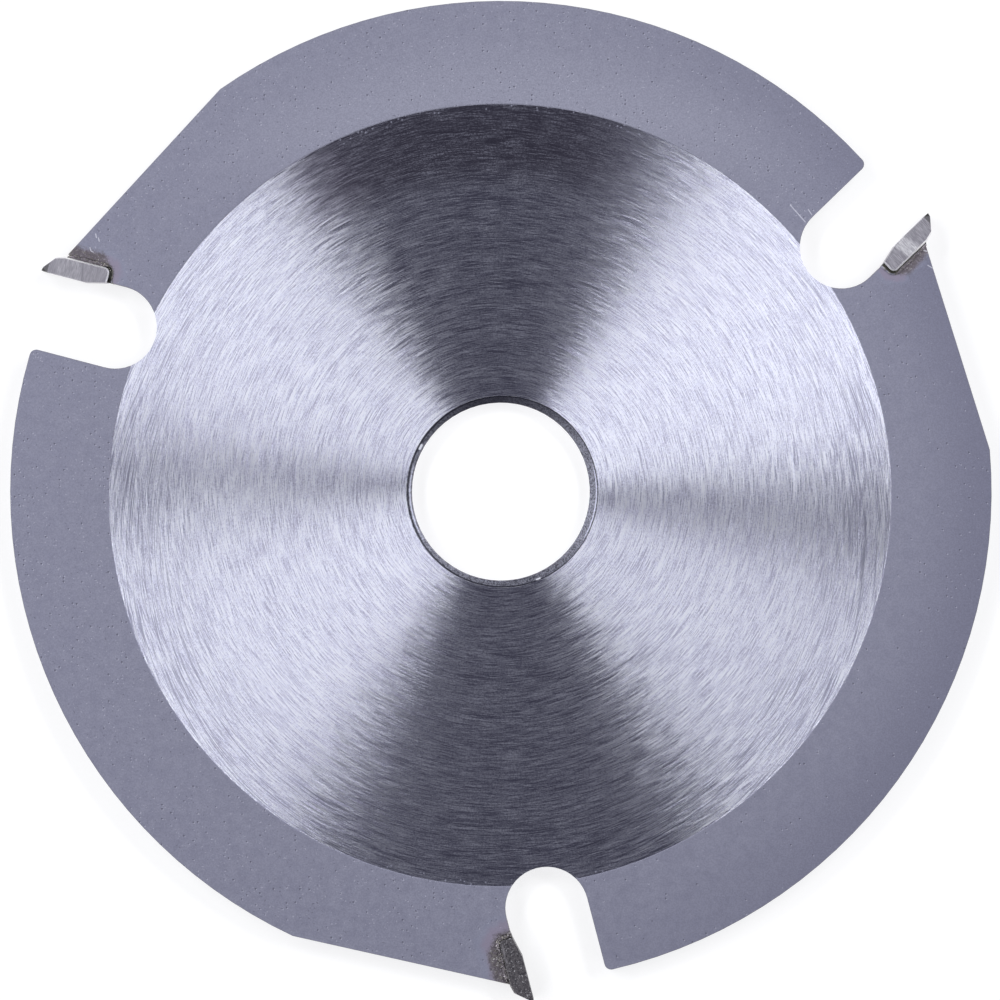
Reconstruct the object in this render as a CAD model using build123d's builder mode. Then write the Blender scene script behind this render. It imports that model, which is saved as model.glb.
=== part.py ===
from build123d import *
from math import atan, cos, degrees, radians, sin, tan
import os

# Disc with three carbide teeth for cutting and shaping wood on an angle grinder.
# It lies flat: the bore's centre is the origin, its axis is Z and the plate's middle is Z = 0.
# Seen from above, the teeth cut counter-clockwise. Sizes are in millimetres and degrees.

# Plate: its rim stands inside the circle of the tips
tip_circle_diameter = 127.0
rim_drop = 2.35
plate_thickness = 2.5

# Bore: bevelled on the upper side, a little off centre, with its sharp edge broken on the lower
bore_diameter = 22.23
bevel_diameter = 24.0
bevel_centre = (0.17, 0)
bevel_angle = 45.0
bore_edge_break = 0.2

# Ground zone: a shallow round recess on each side, a little off centre
ground_diameter = 97.4
ground_depth = 0.05
ground_run_out = 0.15
ground_centre = (-0.1, -0.45)

# Teeth: an even pitch, and the error that each was cut with
tooth_count = 3
first_tooth_angle = 33.7
placing_errors = (-0.6, 0.6, 0.0)
hook_angle = 11.0

# Clearance flat: a chord off the rim behind each tooth
flat_drop = 1.45
flat_lag_angle = 16.3

# Gullet: a slot with a round bottom in front of each tooth, parallel to the rake face
gullet_width = 10.36
gullet_depth = 15.82
rake_face_stand = 0.7
shoulder_radius = 0.85

# Carbide tip
kerf_width = 3.8
tip_length = 8.25
tip_depth = 2.4
face_length = 5.6
nose_drop = 0.63
tip_corner_radius = 0.7
land_length = 0.5
land_relief_angle = 6.0
back_relief_angle = 28.5
heel_drop = 0.25
heel_length = 0.95
side_clearance_radial = 0.7
side_clearance_tangential = 1.0
side_bevel = 0.2
nick_on_face = 0.7
nick_on_land = 0.4
nick_depth = 0.22

# Seat and braze
braze_gap = 0.12
seat_wall_opening = 3.3
seat_ledge_opening = 27.7
bead_width = 0.8
bead_climb = 0.46

# Sizes that follow
tip_radius = tip_circle_diameter / 2
rim_radius = tip_radius - rim_drop
flat_distance = rim_radius - flat_drop
bore_radius = bore_diameter / 2
ground_radius = ground_diameter / 2
half_plate = plate_thickness / 2
half_kerf = kerf_width / 2
gullet_radius = gullet_width / 2
bead_height = bead_climb * (half_kerf - half_plate)
beyond_rim = 2 * rim_drop

# One frame for each tooth: origin at the cutting edge, X along the rake face, Y the way it cuts
tooth_frames = []
for tooth in range(tooth_count):
    tooth_angle = first_tooth_angle + tooth * 360 / tooth_count
    tooth_angle += placing_errors[tooth % len(placing_errors)]
    tooth_frames.append(
        Plane(
            origin=Vector(tip_radius, 0, 0).rotate(Axis.Z, tooth_angle),
            x_dir=Vector(1, 0, 0).rotate(Axis.Z, tooth_angle + hook_angle),
            z_dir=(0, 0, 1),
        )
    )

# The carbide tip's outline, in a tooth's frame: rake face, nose, rounded inner corner, back,
# heel, relief and land
land_lean = radians(hook_angle + land_relief_angle)
back_lean = radians(hook_angle + back_relief_angle)
land_end = (-land_length * sin(land_lean), -land_length * cos(land_lean))
heel_height = heel_drop - tip_depth
heel = (land_end[0] - (land_end[1] - heel_height) * tan(back_lean), heel_height)
back_end = (heel[0] - heel_length, -tip_depth)
inner_corner = (-tip_length, -tip_depth)
nose_end = (-tip_length, -nose_drop)
with BuildSketch() as tip_profile:
    with BuildLine():
        Polyline(
            (0, 0), (-face_length, 0), nose_end, inner_corner, back_end, heel, land_end, close=True
        )
    make_face()
    fillet(tip_profile.vertices().sort_by_distance(inner_corner)[0], tip_corner_radius)

# The seat's line: a rounded corner round the tip's, a ledge up to the gullet and a wall out to
# the flat. Both open out from the corner, so the braze is thinnest there.
disc_centre = Vector(-tip_radius, 0).rotate(Axis.Z, -hook_angle)
flat_foot = disc_centre + Vector(flat_distance, 0).rotate(Axis.Z, -hook_angle - flat_lag_angle)
flat_line = Line(
    flat_foot, flat_foot + Vector(0, tip_radius).rotate(Axis.Z, -hook_angle - flat_lag_angle)
)
with BuildLine() as seat_line:
    corner = CenterArc(
        (tip_corner_radius - tip_length, tip_corner_radius - tip_depth),
        tip_corner_radius + braze_gap,
        180 + seat_ledge_opening,
        90 - seat_ledge_opening - seat_wall_opening,
    )
    ledge_rise = -rake_face_stand - (corner @ 0).Y
    ledge = PolarLine(
        corner @ 0, ledge_rise / cos(radians(seat_ledge_opening)), 90 + seat_ledge_opening
    )
    wall = IntersectingLine(
        corner @ 1, Vector(1, 0).rotate(Axis.Z, -seat_wall_opening), other=flat_line
    )
ledge_end = ledge @ 1
wall_end = wall @ 1

# Seat: everything between its line, the gullet and the space beyond the rim
with BuildSketch() as seat_profile:
    with BuildLine():
        add(seat_line.line)
        Polyline(
            wall_end,
            wall_end + Vector(beyond_rim, 0),
            (wall_end.X + beyond_rim, 0),
            (ledge_end.X, 0),
            ledge_end,
        )
    make_face()

# Gullet
with BuildSketch() as gullet_profile:
    with Locations((gullet_radius - gullet_depth, gullet_radius - rake_face_stand)):
        Circle(gullet_radius)
        Rectangle(gullet_depth + beyond_rim, gullet_width, align=(Align.MIN, Align.CENTER))

# Braze seam: what the filler holds between seat and tip, hollow at its outer end
with BuildSketch() as seam_profile:
    with BuildLine():
        add(seat_line.line)
        Polyline(ledge_end, nose_end, (-face_length, -tip_depth / 2), back_end)
        SagittaArc(back_end, wall_end, -braze_gap / 2)
    make_face()
    add(tip_profile.sketch, mode=Mode.SUBTRACT)

# Plate's blank, before its seats are cut. Each flat runs on to its tooth, beyond the rim circle.
with BuildSketch() as blank_profile:
    Circle(rim_radius)
    with PolarLocations(flat_distance, tooth_count, first_tooth_angle - flat_lag_angle):
        Rectangle(rim_radius, 2 * rim_radius, align=(Align.MIN, Align.CENTER), mode=Mode.SUBTRACT)
        Rectangle(
            tip_radius - flat_distance,
            tip_radius * sin(radians(flat_lag_angle)),
            align=(Align.MAX, Align.MIN),
        )
    with Locations(*tooth_frames):
        add(gullet_profile.sketch, mode=Mode.SUBTRACT)
    shoulders = [
        blank_profile.vertices().sort_by_distance(
            frame.from_local_coords((0, gullet_width - rake_face_stand))
        )[0]
        for frame in tooth_frames
    ]
    fillet(shoulders, shoulder_radius)

# Bead: where the filler wets the plate's face round a tip, no further than the plate goes
with BuildSketch() as bead_profile:
    add(tip_profile.sketch)
    offset(amount=bead_width)
    with Locations(tooth_frames[0].location.inverse()):
        add(blank_profile.sketch, mode=Mode.INTERSECT)

# Steel plate
with BuildPart() as disc_body:
    with BuildSketch():
        add(blank_profile.sketch)
        with Locations(*tooth_frames):
            add(seat_profile.sketch, mode=Mode.SUBTRACT)
    extrude(amount=half_plate, both=True)
    for side in (1, -1):
        with BuildSketch(Plane.XY.offset(side * half_plate)):
            with Locations(ground_centre):
                Circle(ground_radius + ground_run_out)
        with BuildSketch(Plane.XY.offset(side * (half_plate - ground_depth))):
            with Locations(ground_centre):
                Circle(ground_radius)
        loft(mode=Mode.SUBTRACT)
    Hole(bore_radius)
    bore_mouths = (
        disc_body.edges()
        .filter_by(GeomType.CIRCLE)
        .filter_by(lambda edge: abs(edge.radius - bore_radius) < bore_edge_break)
        .sort_by(Axis.Z)
    )
    chamfer(bore_mouths[0], bore_edge_break)
    with BuildSketch(Plane.XY.offset(half_plate - ground_depth)):
        with Locations(bevel_centre):
            Circle(bevel_diameter / 2)
    extrude(amount=-half_plate, taper=bevel_angle, mode=Mode.SUBTRACT)
disc_body.part.label = "disc_body"

# Carbide tip, wider than the plate. Each side has clearance ground on it, a nick at the cutting
# corner and a bevel along the back and the inner end.
with BuildPart() as tip_shape:
    with BuildSketch():
        add(tip_profile.sketch)
    extrude(amount=half_kerf, both=True)
    for side in (1, -1):
        side_slope = (
            -tan(radians(side_clearance_radial)),
            -tan(radians(side_clearance_tangential)),
            side,
        )
        split(bisect_by=Plane((0, 0, side * half_kerf), z_dir=side_slope), keep=Keep.BOTTOM)
        side_face = tip_shape.faces().sort_by(Axis.Z)[-1 if side > 0 else 0]
        back_edges = side_face.edges().filter_by(
            lambda edge: edge.center().X < heel[0] and edge.center().Y < -nose_drop
        )
        chamfer(back_edges, side_bevel)
        on_face = Vector(-nick_on_face, 0, side * half_kerf)
        on_land = Vector(0, -nick_on_land, side * half_kerf).rotate(Axis.Z, degrees(-land_lean))
        on_edge = Vector(0, 0, side * (half_kerf - nick_depth))
        nick_normal = (on_face - on_edge).cross(on_land - on_edge) * side
        split(bisect_by=Plane(on_edge, z_dir=nick_normal), keep=Keep.BOTTOM)

# Braze of one tip: the seam in its seat and a bead on each face, sloping down to nothing
with BuildPart() as braze_shape:
    with BuildSketch():
        add(seam_profile.sketch)
    extrude(amount=half_plate, both=True)
    for side in (1, -1):
        with BuildSketch(Plane.XY.offset(side * half_plate)):
            add(bead_profile.sketch)
        extrude(amount=bead_height, dir=(0, 0, side), taper=degrees(atan(bead_width / bead_height)))
    with BuildSketch():
        add(tip_profile.sketch)
    extrude(amount=half_kerf, both=True, mode=Mode.SUBTRACT)

os.makedirs("parts", exist_ok=True)
export_step(disc_body.part, "parts/disc_body.step")

# A tip and its braze in every seat
for number, frame in enumerate(tooth_frames, start=1):
    with BuildPart() as carbide_tip:
        with Locations(frame):
            add(tip_shape.part)
    carbide_tip.part.label = f"carbide_tip_{number}"
    export_step(carbide_tip.part, f"parts/carbide_tip_{number}.step")
    with BuildPart() as braze_joint:
        with Locations(frame):
            add(braze_shape.part)
    braze_joint.part.label = f"braze_joint_{number}"
    export_step(braze_joint.part, f"parts/braze_joint_{number}.step")
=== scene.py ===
import bpy
import bmesh
from math import cos, pi, radians, sin
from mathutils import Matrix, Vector


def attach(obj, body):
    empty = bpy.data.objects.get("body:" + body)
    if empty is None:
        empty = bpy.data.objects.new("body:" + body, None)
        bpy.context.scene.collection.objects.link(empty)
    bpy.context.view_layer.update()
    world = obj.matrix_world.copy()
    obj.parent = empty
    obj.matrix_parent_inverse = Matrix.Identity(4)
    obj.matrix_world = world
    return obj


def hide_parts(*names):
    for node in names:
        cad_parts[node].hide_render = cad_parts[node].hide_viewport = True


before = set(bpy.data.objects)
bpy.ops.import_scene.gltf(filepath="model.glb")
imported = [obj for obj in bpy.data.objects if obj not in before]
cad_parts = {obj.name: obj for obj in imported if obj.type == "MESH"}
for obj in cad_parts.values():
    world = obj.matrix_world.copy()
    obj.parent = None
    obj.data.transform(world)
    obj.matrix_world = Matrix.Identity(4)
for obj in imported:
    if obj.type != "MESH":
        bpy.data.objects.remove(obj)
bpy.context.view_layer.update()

# Plate. One laser-cut disc of tool steel, 2.5 mm thick, blasted matt all over. A wide centre zone
# is ground bright on both sides afterwards, with a cup wheel that leaves crossing arcs, and the
# bore is bevelled. Where the tips were brazed in, the heat has left brown and blue tints.
PLATE_HALF_MM = 1.25
GROUND_CENTRE_MM = (-0.1, -0.45, 0.0)
GROUND_RADIUS_MM = 48.78
TIP_RADIUS_MM = 63.5
TOOTH_ANGLES = (33.1, 154.3, 273.7)
HOOK_ANGLE = 11.0
TIP_CORE_MM = (-7.55, -2.47, -1.7)
TIP_CORNER_MM = 0.7
BEYOND_MM = 9.0
SCRATCH_CORE = 0.4


def new_finish(name):
    """An empty material and its tree."""
    finish = bpy.data.materials.new(name)
    finish.use_nodes = True
    finish.node_tree.nodes.clear()
    return finish, finish.node_tree


def put(tree, kind, inputs=None, **settings):
    """One node, with its settings and with values or links on its inputs."""
    made = tree.nodes.new(kind)
    for name, value in settings.items():
        setattr(made, name, value)
    for name, value in (inputs or {}).items():
        if isinstance(value, bpy.types.NodeSocket):
            tree.links.new(value, made.inputs[name])
        else:
            made.inputs[name].default_value = value
    return made


def sums(tree, operation, *values, clamp=False):
    """The result of one Math node."""
    inputs = dict(enumerate(values))
    return put(tree, "ShaderNodeMath", inputs, operation=operation, use_clamp=clamp).outputs[0]


def times(tree, first, second):
    """The product of two numbers."""
    return sums(tree, "MULTIPLY", first, second)


def swayed(tree, value, pattern, size):
    """A number that a pattern moves up and down by as much as half of size."""
    return sums(tree, "MULTIPLY_ADD", pattern, size, sums(tree, "SUBTRACT", value, size / 2))


def vectors(tree, operation, *values):
    """The vector that one Vector Math node gives."""
    made = put(tree, "ShaderNodeVectorMath", dict(enumerate(values)), operation=operation)
    return made.outputs["Vector"]


def measured(tree, operation, *values):
    """The number that one Vector Math node gives."""
    made = put(tree, "ShaderNodeVectorMath", dict(enumerate(values)), operation=operation)
    return made.outputs["Value"]


def scaled(tree, vector, scale):
    """A vector times a number."""
    made = put(tree, "ShaderNodeVectorMath", {0: vector, "Scale": scale}, operation="SCALE")
    return made.outputs["Vector"]


def apart(tree, vector):
    """The three parts of a vector."""
    return put(tree, "ShaderNodeSeparateXYZ", {0: vector}).outputs


def joined(tree, x=0.0, y=0.0, z=0.0):
    """A vector from its three parts."""
    return put(tree, "ShaderNodeCombineXYZ", {0: x, 1: y, 2: z}).outputs[0]


def rise(tree, value, low, high, start=0.0, end=1.0):
    """Goes smoothly from start to end while value goes from low to high."""
    made = put(
        tree,
        "ShaderNodeMapRange",
        {"Value": value, "From Min": low, "From Max": high, "To Min": start, "To Max": end},
        interpolation_type="SMOOTHSTEP",
    )
    return made.outputs["Result"]


def grain(tree, vector, scale, detail=2.0, roughness=0.5):
    """A cloudy pattern from 0 to 1 on a place in millimetres, scale features to a millimetre."""
    made = put(
        tree,
        "ShaderNodeTexNoise",
        {"Vector": vector, "Scale": scale, "Detail": detail, "Roughness": roughness},
        noise_dimensions="3D",
    )
    return made.outputs["Fac"]


def cells(tree, place, per_mm):
    """Flat cells: the distance from a cell's middle, and two random numbers of the cell's own."""
    made = put(
        tree,
        "ShaderNodeTexVoronoi",
        {"Vector": place, "Scale": per_mm},
        feature="F1",
        voronoi_dimensions="2D",
    )
    picks = put(tree, "ShaderNodeSeparateColor", {0: made.outputs["Color"]}).outputs
    return made.outputs["Distance"], picks[0], picks[1]


def mixed(tree, share, first, second):
    """A colour between two others."""
    made = put(tree, "ShaderNodeMix", {0: share, 6: first, 7: second}, data_type="RGBA")
    return made.outputs[2]


def bumped(tree, height, strength, depth):
    """The surface's direction where a pattern stands up by depth, in metres."""
    inputs = {"Height": height, "Strength": strength, "Distance": depth}
    return put(tree, "ShaderNodeBump", inputs).outputs[0]


def surface(tree, colour, roughness, metallic=1.0, **inputs):
    """A shader, of bare metal if nothing else is said."""
    inputs = {"Base Color": colour, "Metallic": metallic, "Roughness": roughness, **inputs}
    return put(tree, "ShaderNodeBsdfPrincipled", inputs).outputs[0]


def over(tree, share, under, upper):
    """One shader over another."""
    return put(tree, "ShaderNodeMixShader", {0: share, 1: under, 2: upper}).outputs[0]


def place_in_mm(tree):
    """The object's own coordinates in millimetres, and their three parts."""
    place = scaled(tree, put(tree, "ShaderNodeTexCoord").outputs["Object"], 1000.0)
    return place, *apart(tree, place)


def flat_radius(tree, place, centre):
    """Distance from an upright line through centre, and the outward direction from it."""
    across = vectors(tree, "MULTIPLY", vectors(tree, "SUBTRACT", place, centre), (1, 1, 0))
    return measured(tree, "LENGTH", across), vectors(tree, "NORMALIZE", across)


def at_tooth(tree, place, angle):
    """Place as a tooth has it: origin at its cutting edge, X along its face, Y the way it cuts."""
    edge = Vector((cos(radians(angle)), sin(radians(angle)), 0)) * TIP_RADIUS_MM
    made = put(
        tree,
        "ShaderNodeMapping",
        {"Vector": place, "Location": edge, "Rotation": (0, 0, radians(angle + HOOK_ANGLE))},
        vector_type="TEXTURE",
    )
    return made.outputs["Vector"]


def from_tip(tree, local):
    """Distance outside a tip's outline, behind its back and beyond its inner end."""
    short = vectors(tree, "SUBTRACT", (TIP_CORE_MM[0], TIP_CORE_MM[2], -BEYOND_MM), local)
    past = vectors(tree, "SUBTRACT", local, (TIP_CORE_MM[1], 0.0, BEYOND_MM))
    outside = vectors(tree, "MAXIMUM", vectors(tree, "MAXIMUM", short, past), (0.0, 0.0, 0.0))
    return sums(tree, "SUBTRACT", measured(tree, "LENGTH", outside), TIP_CORNER_MM)


def near(tree, place, start, end, width):
    """A scratch: 1 on the straight line from start to end, and 0 further off than width."""
    run = Vector((end[0] - start[0], end[1] - start[1], 0.0))
    reached = vectors(tree, "SUBTRACT", place, (*start, 0.0))
    reached = vectors(tree, "MULTIPLY", reached, (1.0, 1.0, 0.0))
    share = measured(tree, "DOT_PRODUCT", reached, run / run.length_squared)
    along = scaled(tree, run, sums(tree, "MULTIPLY", share, 1.0, clamp=True))
    off = measured(tree, "LENGTH", vectors(tree, "SUBTRACT", reached, along))
    return rise(tree, off, SCRATCH_CORE * width, width, 1.0, 0.0)


plate_steel, steel = new_finish("ground_and_matt_steel")
place, x_mm, y_mm, z_mm = place_in_mm(steel)
from_axis, outward = flat_radius(steel, place, (0, 0, 0))
ground_radius, _ = flat_radius(steel, place, GROUND_CENTRE_MM)

# Ground zone. The wheel's passes are patterns drawn out along arcs: one set runs round the bore
# and three lean across it, by about 7 degrees. The round set also turns the scratches a little to
# either side, so that the light and dark sectors run into each other in streaks.
GROUND_WHITE = (0.92, 0.935, 1.0, 1)
GROUND_LIGHT = (0.785, 0.797, 0.945, 1)
GROUND_GREY = (0.44, 0.435, 0.56, 1)
GROUND_PAINTED_SHADE = (0.30, 0.28, 0.36, 1)
STREAK_DARK = (0.31, 0.31, 0.42, 1)
LIGHT_TONE = 0.62
ARC_LEANS = ((0.0, 0.0), (0.13, 20.0), (0.13, 140.0), (0.13, 260.0))
ARC_OFFSETS = (0.0, 37.0, 71.0, 113.0)
ARC_LENGTH_MM = 2.7
ARC_WIDTH_MM = 0.048
ARC_GRAIN = (1.0, 0.0)
ARC_DEPTHS = (0.25, 0.75)
ARC_TURN = 0.20
ARC_CONTRAST = 2.2
BRIGHT_LINES = (0.78, 0.95)
DARK_LINES = (0.20, 0.05)
LINE_CONTRAST = 0.25
PATCH_GRAIN = (0.45, 3.0, 0.6)
PATCHES = (0.36, 0.62, 0.8, 1.1)
FINE_GRAIN = (5.5, 1.0)
FINE_CONTRAST = 1.6
RINGS_PER_MM = 0.55
RING_GRAIN = (1.0, 3.0)
RING_TONES = (0.3, 0.7, -0.10, 0.10)


def drawn_out(tree, x, y, radius, length, width, offset=0.0):
    """A place for a pattern whose features are drawn out round the bore."""
    across = sums(tree, "MULTIPLY_ADD", radius, 1 / width, offset)
    return joined(tree, sums(tree, "DIVIDE", x, length), sums(tree, "DIVIDE", y, length), across)


arc_radii = []
arc_depths = []
for (lean, lean_from), offset in zip(ARC_LEANS, ARC_OFFSETS):
    aside = (lean * cos(radians(lean_from)), lean * sin(radians(lean_from)), 0)
    arc_radius, _ = flat_radius(steel, place, scaled(steel, aside, from_axis))
    pass_at = drawn_out(steel, x_mm, y_mm, arc_radius, ARC_LENGTH_MM, ARC_WIDTH_MM, offset)
    arc_radii.append(arc_radius)
    arc_depths.append(rise(steel, grain(steel, pass_at, *ARC_GRAIN), *ARC_DEPTHS))

crosswise = vectors(steel, "CROSS_PRODUCT", (0.0, 0.0, 1.0), outward)
turned = times(steel, sums(steel, "SUBTRACT", arc_depths[0], 0.5), ARC_TURN)
scratched_across = vectors(steel, "ADD", outward, scaled(steel, crosswise, turned))

arcs = deepest = shallowest = arc_depths[0]
for depth in arc_depths[1:]:
    arcs = sums(steel, "ADD", arcs, depth)
    deepest = sums(steel, "MAXIMUM", deepest, depth)
    shallowest = sums(steel, "MINIMUM", shallowest, depth)
arcs = sums(steel, "DIVIDE", arcs, len(arc_depths))
lines = sums(
    steel, "SUBTRACT", rise(steel, deepest, *BRIGHT_LINES), rise(steel, shallowest, *DARK_LINES)
)
patches = rise(steel, grain(steel, place, *PATCH_GRAIN), *PATCHES)
fine_grain = grain(steel, place, *FINE_GRAIN)
rings_at = joined(steel, z=times(steel, ground_radius, RINGS_PER_MM))
rings_of_light = rise(steel, grain(steel, rings_at, *RING_GRAIN), *RING_TONES)
tone = sums(steel, "MULTIPLY_ADD", times(steel, lines, patches), LINE_CONTRAST, LIGHT_TONE)
tone = swayed(steel, tone, arcs, ARC_CONTRAST)
tone = swayed(steel, tone, fine_grain, FINE_CONTRAST)
tone = sums(steel, "ADD", tone, rings_of_light, clamp=True)
ground_colour = mixed(steel, rise(steel, tone, 0.0, LIGHT_TONE), GROUND_GREY, GROUND_LIGHT)
ground_colour = mixed(steel, rise(steel, tone, LIGHT_TONE, 1.0), ground_colour, GROUND_WHITE)

# Toward its rim the zone has longer, darker arcs along the last of those sets. They are weakest
# at the top, where the lamps leave the steel dark and a painted shade darkens it further.
RIM_ARC_LENGTH_MM = 7.0
RIM_ARC_WIDTH_MM = 0.13
RIM_ARC_GRAIN = (1.0, 1.0)
RIM_ARCS = (0.30, 0.50, 0.9, 0.0)
RIM_ARCS_FROM_MM = (36.0, 46.0)
RIM_ARCS_AT_TOP = (0.2, 0.7, 1.0, 0.35)
DARK_END_WAY = (-0.122, 0.993, 0.0)
DARK_END_WIDTH = (0.84, 0.96)
DARK_END_FROM_MM = (37.0, 43.0, 0.0, 0.85)
rim_arcs_at = drawn_out(steel, x_mm, y_mm, arc_radii[-1], RIM_ARC_LENGTH_MM, RIM_ARC_WIDTH_MM)
rim_arcs = rise(steel, grain(steel, rim_arcs_at, *RIM_ARC_GRAIN), *RIM_ARCS)
rim_arcs = times(steel, rise(steel, ground_radius, *RIM_ARCS_FROM_MM), rim_arcs)
rim_arcs = times(steel, rim_arcs, rise(steel, apart(steel, outward)[1], *RIM_ARCS_AT_TOP))
ground_colour = mixed(steel, rim_arcs, ground_colour, STREAK_DARK)
# Painted shade: the top end of the zone, toward its rim, is painted darker where the lamps leave it
# dark.
painted_shade_at_top = times(
    steel,
    rise(steel, measured(steel, "DOT_PRODUCT", outward, DARK_END_WAY), *DARK_END_WIDTH),
    rise(steel, ground_radius, *DARK_END_FROM_MM),
)
ground_colour = mixed(steel, painted_shade_at_top, ground_colour, GROUND_PAINTED_SHADE)

# A small share of the steel is torn instead of cut: it shines in all directions, most of all in
# flecks along the zone's rim
GROUND_ROUGHNESS = (0.3, 0.7, 0.35, 0.31)
TORN_ROUGHNESS = 0.6
TORN_SHARE = (0.48, 0.68, 0.0, 0.075)
TORN_SPECKLE = (0.35, 0.65, 0.3, 1.7)
FLECKS_PER_MM = 2.2
FLECK_LIMIT = 0.8
FLECK_SIZE = (0.1, 0.35, 0.22, 0.0)
FLECKS_FROM_MM = (47.6, 48.3)
fleck_distance, fleck_pick, _ = cells(steel, place, FLECKS_PER_MM)
fleck = times(
    steel,
    sums(steel, "GREATER_THAN", fleck_pick, FLECK_LIMIT),
    rise(steel, fleck_distance, *FLECK_SIZE),
)
fleck = times(steel, fleck, rise(steel, ground_radius, *FLECKS_FROM_MM))
speckle = rise(steel, fine_grain, *TORN_SPECKLE)
torn_share = sums(steel, "MULTIPLY_ADD", rise(steel, arcs, *TORN_SHARE), speckle, fleck)
ground_steel = surface(
    steel,
    ground_colour,
    rise(steel, arcs, *GROUND_ROUGHNESS),
    Anisotropic=1.0,
    Tangent=vectors(steel, "NORMALIZE", scratched_across),
)
torn_steel = surface(steel, GROUND_LIGHT, TORN_ROUGHNESS)
ground_steel = over(steel, torn_share, ground_steel, torn_steel)

# Matt ring: blasted, with painted shade darkening it at the rim on the right and painted light
# lightening it at the top, with fine pits, each painted as a dark hole with a painted highlight on
# one side, and specks. The lower right has the fewest.
MATT_STEEL = (0.318, 0.321, 0.397, 1)
MATT_STEEL_DULL = (0.28, 0.283, 0.36, 1)
MATT_STEEL_PAINTED_SHADE = (0.235, 0.237, 0.31, 1)
MATT_STEEL_PAINTED_LIGHT = (0.375, 0.378, 0.455, 1)
PIT_DARK = (0.13, 0.13, 0.17, 1)
PIT_RIM = (0.66, 0.66, 0.74, 1)
MOTTLE_GRAIN = (0.7, 4.0, 0.65)
MOTTLE = (0.3, 0.7)
FINE_MOTTLE_GRAIN = (5.0, 2.0, 0.6)
FINE_MOTTLE = (0.35, 0.65, 0.0, 0.22)
PAINTED_SHADE_FROM_MM = (49.5, 61.5)
PAINTED_SHADE_RIGHT_MM = (0.0, 62.0)
PAINTED_LIGHT_FROM_MM = (49.0, 60.0, 1.0, 0.15)
PAINTED_LIGHT_TOP_MM = (34.0, 48.0, 0.10, 0.75)
CLEAN_SIDE_WAY = (0.87, -0.5, 0.0)
CLEAN_SIDE_MM = (8.0, 45.0)
PITS_PER_MM = 1.8
PIT_LIMITS = (0.91, 0.975)
PIT_CROWD_GRAIN = (0.3, 1.0)
PIT_CROWD = (0.35, 0.65, 0.06, -0.08)
PIT_SIZES = (0.0, 1.0, 0.08, 0.21)
PIT_BOWL = (0.06, 0.22, 1.0, 0.0)
PIT_SHARE = 0.8
PIT_LIGHT = (0.06, 0.18, 0.42, 0.0)
PIT_LIGHT_MM = (-0.13, 0.11, 0.0)
SPECK_GRAIN = (3.6, 1.0)
SPECKS_DARK = (0.70, 0.77, 0.0, 0.55)
SPECKS_LIGHT = (0.30, 0.24, 0.0, 0.30)
SPECKS_LEFT = (1.0, 0.35)
mottle = grain(steel, place, *MOTTLE_GRAIN)
fine_mottle = grain(steel, place, *FINE_MOTTLE_GRAIN)
matt_colour = mixed(steel, rise(steel, mottle, *MOTTLE), MATT_STEEL_DULL, MATT_STEEL)
# Painted shade: darker toward the rim on the right. Painted light: lighter near the top.
painted_shade_and_wear = times(steel, rise(steel, from_axis, *PAINTED_SHADE_FROM_MM), rise(steel, x_mm, *PAINTED_SHADE_RIGHT_MM))
matt_colour = mixed(steel, painted_shade_and_wear, matt_colour, MATT_STEEL_PAINTED_SHADE)
painted_light_at_top = times(steel, rise(steel, from_axis, *PAINTED_LIGHT_FROM_MM), rise(steel, y_mm, *PAINTED_LIGHT_TOP_MM))
matt_colour = mixed(steel, painted_light_at_top, matt_colour, MATT_STEEL_PAINTED_LIGHT)
matt_colour = mixed(steel, rise(steel, fine_mottle, *FINE_MOTTLE), matt_colour, PIT_DARK)

toward_clean = measured(steel, "DOT_PRODUCT", place, CLEAN_SIDE_WAY)
pit_crowd = rise(steel, grain(steel, place, *PIT_CROWD_GRAIN), *PIT_CROWD)
pit_limit = rise(steel, toward_clean, *CLEAN_SIDE_MM, *PIT_LIMITS)
pit_limit = sums(steel, "ADD", pit_limit, pit_crowd)
# Painted highlight: a lighter patch painted on one side of each pit, as if lit from there.
beside_pit = vectors(steel, "ADD", place, PIT_LIGHT_MM)
light_distance, light_pick, _ = cells(steel, beside_pit, PITS_PER_MM)
pit_light = times(
    steel,
    sums(steel, "GREATER_THAN", light_pick, pit_limit),
    rise(steel, light_distance, *PIT_LIGHT),
)
matt_colour = mixed(steel, pit_light, matt_colour, PIT_RIM)
# Painted shade: each pit is painted dark inside.
pit_distance, pit_pick, size_pick = cells(steel, place, PITS_PER_MM)
pit_here = sums(steel, "GREATER_THAN", pit_pick, pit_limit)
pit_size = rise(steel, size_pick, *PIT_SIZES)
pit = times(steel, pit_here, sums(steel, "LESS_THAN", pit_distance, pit_size))
matt_colour = mixed(steel, times(steel, pit, PIT_SHARE), matt_colour, PIT_DARK)
specks = grain(steel, place, *SPECK_GRAIN)
speck_share = rise(steel, toward_clean, *CLEAN_SIDE_MM, *SPECKS_LEFT)
for limits, speck_colour in ((SPECKS_DARK, PIT_DARK), (SPECKS_LIGHT, PIT_RIM)):
    speck = times(steel, rise(steel, specks, *limits), speck_share)
    matt_colour = mixed(steel, speck, matt_colour, speck_colour)

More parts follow.
